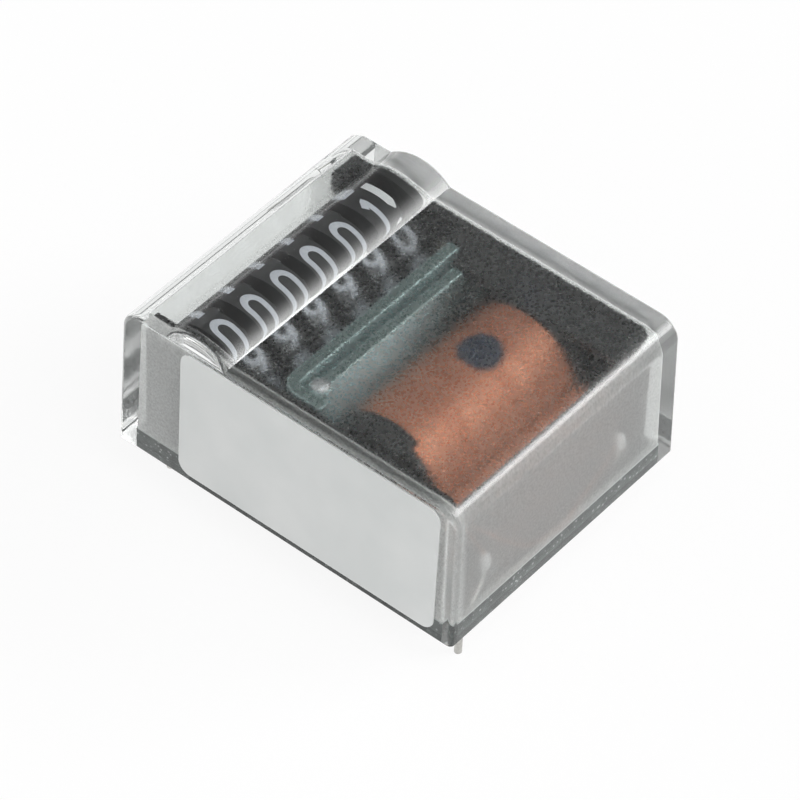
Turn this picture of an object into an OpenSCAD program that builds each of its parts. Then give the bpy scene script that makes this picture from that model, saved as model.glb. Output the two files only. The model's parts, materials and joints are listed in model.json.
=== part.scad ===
// Sealed six-figure electromechanical counter for a circuit board.
// X runs along the row of figures, Y from the terminals towards the figures, Z up.
// The origin is the centre of the cover's rim, on the face that stands on the board.

/* [Cover] */
// Length of the cover along the figures, at its rim
cover_x = 26.24; // [25.2:0.02:28]
// Width of the cover across the figures, at its rim
cover_y = 32; // [30.8:0.1:36]
// Height from the rim to the flat top
cover_h = 13.57; // [13:0.01:15]
// Slope of the walls that lets the moulding leave its tool, in degrees
draft = 1.05; // [0:0.05:1.5]
// Thickness of the side walls
wall_t = 1.3; // [1:0.05:1.4]
// Thickness of the top
top_t = 1.2; // [0.9:0.05:1.4]
// Radius of the two long top edges
edge_r = 1.9; // [1.5:0.1:2.2]
// Radius of the two end top edges
end_edge_r = 0.4; // [0.2:0.05:0.6]

/* [Magnifying bar] */
// Radius of the bar's round face
lens_r = 4.15; // [3.8:0.05:4.6]
// How far the bar stands above the top
lens_rise = 1.18; // [0.8:0.02:1.5]
// Distance of the bar's middle from the cover's outer rim
lens_inset = 7.3; // [7.2:0.1:7.6]

/* [Base] */
// Thickness of the closing plate, whose face is level with the rim
base_t = 1.3; // [1:0.05:1.4]
// Width of the sealing bead round the plate
bead_w = 0.45; // [0.3:0.05:0.5]

/* [Label] */
// Length of the label along the end wall
label_y = 24.3; // [20:0.1:26]
// Height of the label on the end wall
label_h = 12.35; // [8:0.05:12.6]
// Thickness of the label
label_t = 0.1; // [0.05:0.05:0.2]
// Radius of the label's corners
label_r = 1.1; // [0.5:0.1:2]

/* [Pins] */
// Diameter of the pins
pin_d = 0.6; // [0.5:0.05:0.64]
// Length of the pins below the rim
pin_len = 4.45; // [3:0.05:5]
// How far the square part that the plate holds stands out from the pin
pin_hold = 0.05; // [0.05:0.01:0.1]
// Grid of the circuit board's holes
pin_grid = 2.54; // [2.5:0.01:2.56]

/* [Number drums] */
// Diameter of the number drums
drum_d = 9.6; // [9.2:0.1:9.8]
// Gap from one drum to the next
drum_gap = 0.15; // [0.1:0.01:0.2]
// Width of a drum's gear and of its carry disc
drum_side_w = 0.5; // [0.4:0.05:0.55]
// Gap between the drums and the top's underside
drum_roof_gap = 0.57; // [0.45:0.01:0.7]
// Diameter of the drums' axle
axle_d = 1.5; // [1:0.1:2]

/* [Magnet] */
// Diameter of the core
core_d = 3; // [2:0.1:4]
// Thickness of the yoke, the pole shoe and the armature's strip
strip_t = 1; // [0.9:0.05:1.1]
// Depth of the winding below the rims of its former
wind_sink = 0.3; // [0.2:0.05:0.5]
// Thickness of the former's flanges
flange_t = 0.6; // [0.5:0.05:0.7]
// Swing of the armature in degrees
armature_swing = 2.4; // [1.5:0.1:2.6]

/* [Hidden] */
$fn = 96;

// Clearances between pieces
run_clear = 0.04;   // a shaft in its bore, on the radius
frame_clear = 0.15; // the chassis inside the cover
air = 0.2;          // moving pieces from what stands beside them

// Levels and walls of the case
roof = cover_h - top_t;
lens_y = cover_y / 2 - lens_inset;
lens_top = cover_h + lens_rise;
function inner_x(z) = cover_x / 2 - wall_t - z * tan(draft);
function inner_y(z) = cover_y / 2 - wall_t - z * tan(draft);

// Chassis
frame_top = roof - 0.32;
frame_bottom = base_t + 0.1;
frame_x = inner_x(frame_top) - frame_clear;
frame_y = inner_y(frame_top) - 0.45;
end_wall_a = 0.6;
end_wall_b = 0.8;
left_face = -frame_x + end_wall_a;
right_face = frame_x - end_wall_b;
deck_t = 0.75;
deck_top = frame_top - 0.05;

// Number drums, units first and then towards -X
drum_count = 6;
drum_r = drum_d / 2;
drum_y = lens_y + 0.1;
drum_z = roof - drum_roof_gap - drum_r;
escape_w = 1.4;
escape_x = right_face - air - escape_w;
escape_seat = 0.375;
stack_end = escape_x + escape_seat;
stack_start = left_face + 0.225;
drum_pitch = (stack_end - stack_start + drum_gap) / drum_count;
drum_w = drum_pitch - drum_gap;
ring_w = drum_w - 2 * drum_side_w;
function drum_x(i) = stack_end - drum_w / 2 - i * drum_pitch;
hub_r = axle_d / 2 + 0.75;

// Gears: twenty teeth on a drum, six on a carry pinion
gear_teeth = 20;
pinion_teeth = 6;
shaft_reach = drum_r + 0.5;
gear_module = 2 * shaft_reach / (gear_teeth + pinion_teeth);
gear_pitch_r = gear_teeth * gear_module / 2;
pinion_pitch_r = pinion_teeth * gear_module / 2;
tooth_rise = 0.88 * gear_module;
tooth_fall = 1.18 * gear_module;
shaft_angle = 46;
shaft_r = 0.3;
shaft_y = drum_y - shaft_reach * cos(shaft_angle);
shaft_z = drum_z - shaft_reach * sin(shaft_angle);
carry_disc_r = shaft_reach - pinion_pitch_r - tooth_rise - 0.35;

// Escape wheel: ten teeth
escape_teeth = 10;
escape_tip_r = drum_r - 0.3;
escape_root_r = escape_tip_r - 0.6;
escape_rim_r = drum_r - 0.1;
escape_rim_w = 0.7;

// Magnet: yoke, then armature, then coil, from the drums towards -Y
yoke_face = drum_y - drum_r - 1.1;
yoke_back = yoke_face - strip_t;
armature_t = strip_t - 0.1;
armature_face = yoke_back - 0.9;
armature_back = armature_face - armature_t;
flange_r = (roof - base_t - 0.37) / 2;
wind_r = flange_r - wind_sink;
coil_y = armature_back - 0.95 - wind_r;
coil_z = base_t + 0.25 + flange_r;
yoke_gap = 0.45;
yoke_end = left_face + yoke_gap;
leg_x = yoke_end + strip_t;
wind_start = leg_x + flange_t;
pole_x = escape_x - 1.55;
wind_end = pole_x - flange_t;
wind_inner_r = core_d / 2 + 0.6;
magnet_low = coil_z - 1;
magnet_high = roof - 0.57;
yoke_low = magnet_low - 0.2;
deck_low = deck_top - deck_t;

// Armature's hinge and tongue
knuckle_r = 0.85;
hinge_r = 0.4;
hinge_x = leg_x + 0.1 + knuckle_r;
hinge_y = (armature_face + armature_back) / 2;
spring_room = 1.1;
pin_foot = frame_bottom + 0.8;
tongue_drop = 1.6;
tongue_z = drum_z + drum_r - tongue_drop;
tongue_h = 0.6;
tongue_t = 0.5;
verge_x = escape_x + escape_rim_w + 0.1;
verge_w = 0.7;
armature_end = verge_x - 0.25;

// Verge: its pivot stands beside the escape wheel
verge_y = drum_y - escape_tip_r - 0.99;
verge_pin_r = 0.35;
verge_hub_r = 0.75;
pallet_angle = 27;
pallet_gap = 0.12;
tail_y = hinge_y - verge_y;
tail_z = tongue_z - drum_z;
tongue_travel = (armature_end + 0.45 - hinge_x) * sin(armature_swing);
verge_swing = atan(tongue_travel / tail_z);

// Pins and terminals
pin_r = pin_d / 2;
hold_half = pin_r + pin_hold;
bead_top = base_t + 0.05;
plate_x = inner_x(0) - bead_w;
plate_y = inner_y(0) - bead_w;
// Pins stand on the grid, counted from the plate's far left corner
pin_edge_x = 1.57;
pin_edge_y = 0.51;
pin_columns = floor((2 * plate_x - pin_edge_x - 0.8) / pin_grid);
pin_rows = floor((2 * plate_y - pin_edge_y) / pin_grid);
pin_back_y = plate_y - pin_edge_y;
pin_front_y = pin_back_y - pin_rows * pin_grid;
pin_left_x = -plate_x + pin_edge_x;
pin_ax = [pin_left_x, pin_front_y];
pin_bx = [pin_left_x + (pin_columns - 1) * pin_grid, pin_front_y + pin_grid];
pin_cx = [pin_left_x, pin_back_y];
pin_dx = [pin_left_x + pin_columns * pin_grid, pin_back_y];
post_x = 7.9;
post_y = -plate_y + 0.65;
bend_z = bead_top + pin_r + 0.03;
bend_r = 0.45;
post_top = 4.1;
solder_r = 0.5;
solder_low = 3.7;
solder_high = 4.35;
solder_y = post_y - 0.15;

// Outline of a moulding with sloping sides and round top corners, from z0 up to h
module drafted_outline(half, z0, h, r) {
  mid = half - (h - r) * tan(draft) - r / cos(draft);
  side = mid + r * cos(draft);
  side_z = h - r + r * sin(draft);
  low = half - z0 * tan(draft);
  union() {
    polygon([[-low, z0], [low, z0], [side, side_z], [mid, h], [-mid, h], [-side, side_z]]);
    for (s = [-1, 1]) translate([s * mid, h - r]) circle(r);
  }
}

// A block with sloping walls: half sizes at the rim, top level and edge radii
module drafted_block(hx, hy, z0, h, rx, ry) {
  intersection() {
    rotate([90, 0, 90]) linear_extrude(2 * hx + 2, center = true) drafted_outline(hy, z0, h, ry);
    rotate([90, 0, 0]) linear_extrude(2 * hy + 2, center = true) drafted_outline(hx, z0, h, rx);
  }
}

// Outline with sloping sides and sharp corners, from z0 up to h
module sloping_outline(half, z0, h) {
  low = half - z0 * tan(draft);
  high = half - h * tan(draft);
  polygon([[-low, z0], [low, z0], [high, h], [-high, h]]);
}

// The room inside the cover, open downwards
module cavity() {
  hx = cover_x / 2 - wall_t;
  hy = cover_y / 2 - wall_t;
  intersection() {
    rotate([90, 0, 90]) linear_extrude(cover_x, center = true) sloping_outline(hy, -0.5, roof);
    rotate([90, 0, 0]) linear_extrude(cover_y, center = true) sloping_outline(hx, -0.5, roof);
  }
}

// A box from its lower and upper corners
module box(a, b) {
  translate(a) cube([b[0] - a[0], b[1] - a[1], b[2] - a[2]]);
}

// A round bar along X between two places, at (y, z)
module bar_x(x0, x1, y, z, r) {
  translate([x0, y, z]) rotate([0, 90, 0]) cylinder(h = x1 - x0, r = r);
}

// A flat outline drawn in (y, z) and thickened along X from x0 to x1
module plate_x_of(x0, x1) {
  translate([x0, 0, 0]) rotate([90, 0, 90]) linear_extrude(x1 - x0) children();
}

// Rounded rectangle with its lower corner at the origin
module rounded(w, h, r) {
  union() {
    translate([r, 0]) square([w - 2 * r, h]);
    translate([0, r]) square([w, h - 2 * r]);
    for (x = [r, w - r], y = [r, h - r]) translate([x, y]) circle(r);
  }
}

// Teeth round the origin, each a wedge from its root width to its tip width
module teeth(count, root_r, tip_r, root_w, tip_w, step = 1) {
  for (i = [0 : step : count - 1]) rotate(i * 360 / count)
    polygon([[root_r - 0.15, -root_w / 2], [tip_r, -tip_w / 2],
             [tip_r, tip_w / 2], [root_r - 0.15, root_w / 2]]);
}

// A smooth line through points: each span is a curve whose ends follow their neighbours
function curve_at(p, i, t) = let (
    a = p[max(i - 1, 0)], b = p[i], c = p[i + 1], d = p[min(i + 2, len(p) - 1)])
  0.5 * (2 * b + (c - a) * t + (2 * a - 5 * b + 4 * c - d) * t * t
         + (3 * b - a - 3 * c + d) * t * t * t);
function curve(p, steps) = [for (i = [0 : len(p) - 2], s = [0 : steps - 1])
  curve_at(p, i, s / steps), p[len(p) - 1]];

// A round wire along a line of points, with eight sides
function unit(v) = v / norm(v);
function heading(p, i) = unit(p[min(i + 1, len(p) - 1)] - p[max(i - 1, 0)]);
function across(d) = unit(cross(d, abs(d[2]) < 0.9 ? [0, 0, 1] : [1, 0, 0]));
// Each ring turns with the line, so that the wire does not twist
function sides(p, i, last) = i == len(p) ? [] : let (
    d = heading(p, i), s = unit(last - (last * d) * d))
  concat([[p[i], s, cross(d, s)]], sides(p, i + 1, s));
module wire(p, r) {
  n = 8;
  rings = sides(p, 0, across(heading(p, 0)));
  pts = [for (g = rings, k = [0 : n - 1])
    g[0] + r * (cos(k * 360 / n) * g[1] + sin(k * 360 / n) * g[2])];
  count = len(rings);
  skin = [for (i = [0 : count - 2], k = [0 : n - 1])
    [i * n + k, (i + 1) * n + k, (i + 1) * n + (k + 1) % n, i * n + (k + 1) % n]];
  start = [for (k = [0 : n - 1]) k];
  end = [for (k = [n - 1 : -1 : 0]) (count - 1) * n + k];
  polyhedron(pts, concat(skin, [start, end]), convexity = 6);
}

// Clear cover with its magnifying bar, one moulding
module cover() {
  color([0.86, 0.88, 0.89, 0.35]) union() {
    difference() {
      drafted_block(cover_x / 2, cover_y / 2, 0, cover_h, end_edge_r, edge_r);
      cavity();
    }
    intersection() {
      bar_x(-cover_x, cover_x, lens_y, lens_top - lens_r, lens_r);
      rotate([90, 0, 0]) linear_extrude(2 * cover_y, center = true)
        drafted_outline(cover_x / 2, roof + 0.3, lens_top, end_edge_r);
    }
  }
}

// Closing plate with openings for the pins
module base_plate() {
  color([0.2, 0.21, 0.21]) difference() {
    box([-plate_x, -plate_y, 0], [plate_x, plate_y, base_t]);
    pin_holes(hold_half + run_clear);
  }
}

// A square bar upright on a pin's place
module square_bar(at, half, z0, z1) {
  box([at[0] - half, at[1] - half, z0], [at[0] + half, at[1] + half, z1]);
}

module pin_holes(half) {
  for (p = [pin_ax, pin_bx, pin_cx, pin_dx]) square_bar(p, half, -1, base_t + 1);
}

// Cast bead that fills the joint between plate and wall
module seal_bead() {
  color([0.45, 0.46, 0.46]) difference() {
    intersection() {
      cavity();
      box([-cover_x, -cover_y, 0], [cover_x, cover_y, bead_top]);
    }
    box([-plate_x, -plate_y, -1], [plate_x, plate_y, bead_top + 1]);
    pin_holes(hold_half);
  }
}

// Bare label on the -X wall
module label() {
  label_y0 = -cover_y / 2 + 1.7;
  label_z0 = 0.65;
  color([0.8, 0.81, 0.81]) translate([-cover_x / 2, 0, 0]) rotate([0, draft, 0])
    translate([0, label_y0, label_z0]) plate_x_of(-label_t, 0) rounded(label_y, label_h, label_r);
}

// Black frame: end walls, rails between them, a deck at the far end
module chassis() {
  rail_back = yoke_face + 0.4;
  rail_front = yoke_back - 0.4;
  rail_low_y = coil_y - flange_r + 0.35;
  color([0.09, 0.09, 0.1]) difference() {
    union() {
      box([-frame_x, -frame_y + 0.5, frame_bottom], [left_face, frame_y, frame_top]);
      box([right_face, -frame_y + 0.5, frame_bottom], [frame_x, frame_y, frame_top]);
      // Rail that carries the yoke
      box([-frame_x, rail_front, frame_bottom], [frame_x, rail_back, yoke_low]);
      // Thin rails along the front and the back
      box([-frame_x, rail_low_y, frame_bottom], [frame_x, rail_low_y + 0.7, pin_foot]);
      box([-frame_x, frame_y - 1.8, frame_bottom], [frame_x, frame_y - 0.8, frame_bottom + 1]);
      // Deck over the pole shoe and the escapement
      box([pole_x, -frame_y + 0.5, deck_low], [frame_x, yoke_back - 0.6, deck_top]);
      box([escape_x + 0.2, yoke_back - 0.7, deck_low], [frame_x, yoke_face + 0.5, deck_top]);
      // Corner block behind the escape wheel
      box([escape_x - 0.3, frame_y - 0.8, drum_z + 3], [frame_x, frame_y, frame_top]);
      // Foot of the armature's pin
      box([leg_x + 0.1, hinge_y - 0.95, frame_bottom],
          [hinge_x + knuckle_r, rail_front + 0.1, magnet_low - 0.05]);
      // Stop behind the armature's free end
      box([pole_x + 0.8, armature_face + 0.05, yoke_low - 0.6],
          [pole_x + 1.5, rail_front + 0.3, yoke_low + 1.8]);
    }
    bar_x(-cover_x, cover_x, drum_y, drum_z, axle_d / 2);
    bar_x(-cover_x, cover_x, shaft_y, shaft_z, shaft_r);
    bar_x(right_face - 1, cover_x, verge_y, drum_z, verge_pin_r);
    translate([hinge_x, hinge_y, pin_foot]) cylinder(h = frame_top, r = hinge_r);
    // Room for the verge's lower arm
    box([verge_x - air, rail_front - 1, drum_z - 3.5], [right_face, rail_back + 1, yoke_low + 1]);
  }
}

module drum_axle() {
  color([0.7, 0.71, 0.72]) bar_x(-frame_x, frame_x, drum_y, drum_z, axle_d / 2);
}

module pinion_shaft() {
  color([0.7, 0.71, 0.72]) bar_x(-frame_x, frame_x, shaft_y, shaft_z, shaft_r);
}

// A number drum: figure ring on a web and hub, gear on its +X side, carry disc on its -X side.
// Gear and disc bite into the ring, so that they join it for certain
module drum(i, gear, carry) {
  x = drum_x(i);
  ring = ring_w / 2;
  bite = 0.2;
  rim_inner = gear_pitch_r - tooth_fall - 0.3;
  color([0.07, 0.07, 0.08]) difference() {
    union() {
      bar_x(x - drum_w / 2, x + drum_w / 2, drum_y, drum_z, hub_r);
      difference() {
        bar_x(x - ring, x + ring, drum_y, drum_z, drum_r);
        bar_x(x - ring + 0.6, x + ring + 1, drum_y, drum_z, rim_inner);
      }
      if (gear) difference() {
        plate_x_of(x + ring - bite, x + drum_w / 2) translate([drum_y, drum_z]) union() {
          circle(gear_pitch_r - tooth_fall);
          rotate(180 + shaft_angle) gear_ring();
        }
        bar_x(x - ring + 0.6, x + drum_w, drum_y, drum_z, rim_inner);
      }
      if (carry) plate_x_of(x - drum_w / 2, x - ring + bite) translate([drum_y, drum_z])
        carry_disc();
    }
    bar_x(-cover_x, cover_x, drum_y, drum_z, axle_d / 2 + run_clear);
  }
}

// A tooth of the drum points at the shaft at rest
module gear_ring() {
  teeth(gear_teeth, gear_pitch_r - tooth_fall, gear_pitch_r + tooth_rise,
        1.75 * gear_module, 0.75 * gear_module);
}

// Locking disc with a notch between the two low carry teeth
module carry_disc() {
  difference() {
    circle(carry_disc_r);
    rotate(20) translate([carry_disc_r, 0]) circle(0.45);
  }
}

module escape_wheel() {
  color([0.08, 0.08, 0.09]) difference() {
    union() {
      bar_x(escape_x, escape_x + escape_rim_w, drum_y, drum_z, escape_rim_r);
      plate_x_of(escape_x + escape_rim_w, escape_x + escape_w) translate([drum_y, drum_z]) union() {
        circle(escape_root_r);
        rotate(18) teeth(escape_teeth, escape_root_r, escape_tip_r, 1.3, 0.35);
      }
    }
    bar_x(escape_x - 1, escape_x + escape_seat, drum_y, drum_z, hub_r);
    bar_x(-cover_x, cover_x, drum_y, drum_z, axle_d / 2 + run_clear);
  }
}

// Carry pinion between drum i and the next one towards -X, three long teeth and three short
module pinion(i) {
  gear_side = drum_x(i) + ring_w / 2 + 0.1;
  far_side = drum_x(i - 1) - ring_w / 2 - 0.1;
  short_end = gear_side + drum_side_w - 0.05;
  root_r = pinion_pitch_r - tooth_fall;
  tip_r = pinion_pitch_r + tooth_rise;
  color([0.85, 0.84, 0.8]) difference() {
    union() {
      bar_x(gear_side, far_side, shaft_y, shaft_z, root_r);
      plate_x_of(gear_side, short_end) translate([shaft_y, shaft_z]) rotate(shaft_angle + 30)
        teeth(pinion_teeth, root_r, tip_r, 0.62, 0.3);
      plate_x_of(short_end, far_side) translate([shaft_y, shaft_z]) rotate(shaft_angle + 30)
        teeth(pinion_teeth, root_r, tip_r, 0.62, 0.3, 2);
    }
    bar_x(-cover_x, cover_x, shaft_y, shaft_z, shaft_r + run_clear);
  }
}

// One side of the verge: an arm that runs round the wheel, and its pallet
module verge_side() {
  wheel = drum_y - verge_y;
  arm_in = escape_tip_r + 0.5;
  arm_out = arm_in + 0.6;
  reach = pallet_angle + 4;
  far = 2 * arm_out;
  nib = [[arm_in + 0.1, -0.3], [arm_in + 0.1, 0.3], [escape_tip_r + pallet_gap, 0.12],
         [escape_tip_r + pallet_gap, -0.12]];
  translate([wheel, 0]) union() {
    intersection() {
      difference() {
        circle(arm_out);
        circle(arm_in);
      }
      polygon([[0, 0], [-far, 0], [-far * cos(reach), far * sin(reach)]]);
    }
    rotate(180 - pallet_angle) polygon(nib);
  }
}

// Rocking lever: hub, two pallets, and a fork for the armature's tongue
module verge() {
  slot = 0.46;
  prong = 0.35;
  fork_y = tail_y + 0.05;
  fork_low = tail_z - tongue_h / 2 - 0.15;
  fork_high = tail_z + 0.9;
  color([0.87, 0.86, 0.82]) difference() {
    plate_x_of(verge_x, verge_x + verge_w) translate([verge_y, drum_z]) union() {
      circle(verge_hub_r);
      verge_side();
      rotate(-verge_swing) mirror([0, 1]) verge_side();
      polygon([[-0.6, -0.3], [0.3, 0.6], [fork_y + 0.5, fork_low], [fork_y - 0.5, fork_low - 0.35]]);
      difference() {
        translate([fork_y - slot - prong, fork_low - 0.4])
          square([2 * (slot + prong), fork_high - fork_low + 0.4]);
        translate([fork_y - slot, fork_low]) square([2 * slot, fork_high]);
      }
    }
    bar_x(-cover_x, cover_x, verge_y, drum_z, verge_pin_r + run_clear);
  }
}

module verge_pin() {
  color([0.72, 0.73, 0.74]) union() {
    bar_x(verge_x - 0.1, frame_x, verge_y, drum_z, verge_pin_r);
    bar_x(verge_x - 0.3, verge_x - 0.1, verge_y, drum_z, verge_pin_r + 0.2);
  }
}

// Flat clapper: knuckle, plate and tongue
module armature() {
  notch_x = hinge_x + knuckle_r + 0.2;
  low_end = deck_low - 0.25;
  color([0.66, 0.74, 0.74]) difference() {
    union() {
      translate([hinge_x, hinge_y, magnet_low + spring_room])
        cylinder(h = magnet_high - magnet_low - spring_room, r = knuckle_r);
      box([hinge_x, armature_back, magnet_low + spring_room],
          [notch_x + 0.1, armature_face, magnet_high]);
      box([notch_x, armature_back, magnet_low], [pole_x - 0.2, armature_face, magnet_high]);
      box([pole_x - 0.3, armature_back, magnet_low], [armature_end, armature_face, low_end]);
      box([armature_end - 0.1, hinge_y - tongue_t / 2, tongue_z - tongue_h / 2],
          [verge_x + verge_w - 0.05, hinge_y + tongue_t / 2, tongue_z + tongue_h / 2]);
    }
    translate([hinge_x, hinge_y, magnet_low]) cylinder(h = magnet_high, r = hinge_r + run_clear);
  }
}

// Upright pin with a domed head above the armature's knuckle
module armature_pin() {
  head_z = magnet_high + 0.08;
  dome_r = 1;
  color([0.78, 0.8, 0.8]) translate([hinge_x, hinge_y, 0]) union() {
    translate([0, 0, pin_foot]) cylinder(h = head_z - pin_foot, r = hinge_r);
    intersection() {
      translate([0, 0, head_z + 0.32 - dome_r]) sphere(dome_r);
      translate([0, 0, head_z]) cylinder(h = 1, r = 0.75);
    }
  }
}

// Torsion spring round the pin, one end on the yoke's leg and one on the armature
module return_spring() {
  spring_r = 0.1;
  turns = 3.75;
  coil_r = hinge_r + 0.12 + spring_r;
  low = magnet_low + 0.1;
  rise = spring_room - 0.3;
  per_turn = 14;
  steps = floor(turns * per_turn);
  helix = [for (i = [0 : steps]) let (a = 180 + i * 360 * turns / steps)
    [hinge_x + coil_r * cos(a), hinge_y + coil_r * sin(a), low + rise * i / steps]];
  last = helix[steps];
  color([0.75, 0.76, 0.77]) wire(concat(
    [helix[0] + [0, 0.75, 0], helix[0] + [0, 0.3, 0]], helix,
    [last + [0.3, 0, 0], last + [1.2, 0, 0], last + [2.1, 0, 0]]), spring_r);
}

// Bent strip: a long leg beside the drums and a short leg that carries the core
module yoke() {
  bend = 1.5;
  short_end = coil_y - core_d / 2 - 1.6;
  step_y = armature_back - 1.1;
  step_z = coil_z + core_d / 2 + 1;
  far = escape_x;
  color([0.7, 0.76, 0.75]) difference() {
    translate([0, 0, yoke_low]) linear_extrude(magnet_high + 0.1 - yoke_low) difference() {
      union() {
        translate([yoke_end + bend, yoke_back]) square([far - yoke_end - bend, strip_t]);
        translate([yoke_end, short_end]) square([strip_t, yoke_face - bend - short_end]);
        translate([yoke_end + bend, yoke_face - bend]) intersection() {
          circle(bend);
          translate([-bend, 0]) square([bend, bend]);
        }
      }
      translate([yoke_end + bend, yoke_face - bend]) circle(bend - strip_t);
    }
    box([yoke_end - 1, short_end - 1, step_z], [leg_x + 1, step_y, roof]);
    bar_x(-cover_x, cover_x, coil_y, coil_z, core_d / 2);
  }
}

module core() {
  color([0.66, 0.67, 0.68]) bar_x(yoke_end, pole_x + strip_t, coil_y, coil_z, core_d / 2);
}

module pole_shoe() {
  color([0.66, 0.72, 0.72]) difference() {
    box([pole_x, coil_y - 2, coil_z - 2.3], [pole_x + strip_t, armature_back - 0.88, coil_z + 2.3]);
    bar_x(-cover_x, cover_x, coil_y, coil_z, core_d / 2);
  }
}

// Coil former: tube, two flanges and the terminal hood at the near end
module bobbin() {
  hood_end = wind_start + 0.7;
  color([0.1, 0.1, 0.11]) difference() {
    union() {
      bar_x(leg_x, pole_x, coil_y, coil_z, wind_inner_r);
      bar_x(leg_x, wind_start, coil_y, coil_z, flange_r);
      intersection() {
        bar_x(wind_end, pole_x, coil_y, coil_z, flange_r);
        box([0, coil_y - flange_r - 1, 0], [pole_x, armature_back - 0.95, roof]);
      }
      intersection() {
        bar_x(yoke_end, hood_end, coil_y, coil_z, flange_r);
        box([yoke_end, coil_y - 2.3, coil_z + core_d / 2 + 1.1],
            [hood_end, armature_back - 1.3, roof]);
      }
    }
    bar_x(-cover_x, cover_x, coil_y, coil_z, core_d / 2);
    difference() {
      bar_x(wind_start, wind_end, coil_y, coil_z, wind_r);
      bar_x(wind_start - 1, wind_end + 1, coil_y, coil_z, wind_inner_r);
    }
  }
}

module coil_winding() {
  color([0.8, 0.48, 0.33]) difference() {
    bar_x(wind_start, wind_end, coil_y, coil_z, wind_r);
    bar_x(wind_start - 1, wind_end + 1, coil_y, coil_z, wind_inner_r);
  }
}

// Terminal: a pin through the base, bent along it and up to a post
module terminal(pin, post_at) {
  run = post_at - pin;
  straight = norm(run) - 2 * bend_r;
  color([0.82, 0.82, 0.8]) union() {
    square_bar(pin, hold_half, 0, bend_z - bend_r);
    translate([pin[0], pin[1], bend_z]) rotate(atan2(run[1], run[0])) union() {
      translate([0, 0, -bend_z - pin_len]) cylinder(h = bend_z + pin_len - bend_r, r = pin_r);
      translate([bend_r, 0, -bend_r]) rotate([90, 0, 0]) elbow(90);
      translate([bend_r, 0, 0]) rotate([0, 90, 0]) cylinder(h = straight, r = pin_r);
      translate([bend_r + straight, 0, bend_r]) rotate([90, 0, 0]) elbow(270);
      translate([norm(run), 0, bend_r]) cylinder(h = post_top - bend_z - bend_r, r = pin_r);
    }
  }
}

// Quarter of a bent wire in the plane of its bend
module elbow(start) {
  rotate(start) rotate_extrude(angle = 90) translate([bend_r, 0]) circle(pin_r);
}

module pin_coil_a() { terminal(pin_ax, [-post_x, post_y]); }
module pin_coil_b() { terminal(pin_bx, [post_x, post_y]); }

// A plain pin that ends flush with the inside of the base
module plain_pin(at) {
  color([0.82, 0.82, 0.8]) union() {
    square_bar(at, hold_half, 0, base_t);
    translate([at[0], at[1], -pin_len]) cylinder(h = pin_len + base_t / 2, r = pin_r);
  }
}

module pin_plain_a() { plain_pin(pin_cx); }
module pin_plain_b() { plain_pin(pin_dx); }

// Bead of solder round the top of a post
module solder(x) {
  color([0.88, 0.89, 0.9]) difference() {
    union() {
      translate([x, solder_y, solder_low]) cylinder(h = solder_high - solder_low, r = solder_r);
      translate([x, solder_y, solder_low]) sphere(solder_r);
      translate([x, solder_y, solder_high]) sphere(solder_r);
    }
    translate([x, post_y, 0]) cylinder(h = post_top, r = pin_r);
  }
}

// Coil wires: from the winding's -Y side to the solder beads
lead_r = 0.08;
wind_side = coil_y - wind_r - lead_r;
window_y = -inner_y(3) + 0.25;
lead_a_route = [[wind_start + 0.3, wind_side + 0.35, coil_z + 2.4],
                [wind_start + 0.1, wind_side - 0.9, coil_z + 1],
                [-post_x - 0.4, solder_y + 0.45, 5.9],
                [-post_x, solder_y, solder_high + solder_r + 0.02]];
lead_b_route = [[wind_start + 0.7, wind_side, coil_z],
                [-7.2, window_y + 1.2, 6.2],
                [-5.9, window_y + 0.1, 4.9],
                [-3.3, window_y, 2.5],
                [-0.5, window_y, 1.6],
                [1.2, window_y, 1.65],
                [3.2, window_y, 2.8],
                [5.6, window_y + 0.1, 3.85],
                [post_x - solder_r - 0.02, solder_y, solder_high - 0.3]];

module lead_a() { color([0.76, 0.5, 0.36]) wire(curve(lead_a_route, 5), lead_r); }
module lead_b() { color([0.76, 0.5, 0.36]) wire(curve(lead_b_route, 5), lead_r); }

cover();
base_plate();
seal_bead();
label();
chassis();
drum_axle();
drum(0, false, true);  // drum_units
drum(1, true, true);  // drum_tens
drum(2, true, true);  // drum_hundreds
drum(3, true, true);  // drum_thousands
drum(4, true, true);  // drum_ten_thousands
drum(5, true, false);  // drum_hundred_thousands
escape_wheel();
pinion_shaft();
pinion(1);  // pinion_1
pinion(2);  // pinion_2
pinion(3);  // pinion_3
pinion(4);  // pinion_4
pinion(5);  // pinion_5
verge();
verge_pin();
armature();
armature_pin();
return_spring();
yoke();
core();
pole_shoe();
bobbin();
coil_winding();
pin_coil_a();
pin_coil_b();
pin_plain_a();
pin_plain_b();
solder(-post_x);  // solder_a
solder(post_x);  // solder_b
lead_a();
lead_b();
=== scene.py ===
# %% [markdown]
# # A sealed counter for a circuit board
#
# The object is a small magnet counter: a black frame with six number drums, a coil and its armature,
# shut in a clear moulded cover. The solids of all its pieces come from a drawing and are loaded as they
# are. This file makes what the eye sees first: the clear moulding, the printed figures and the finishes.

# %% Load the solids
import json
import math
import bmesh
import bpy
from mathutils import Matrix, Vector


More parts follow.
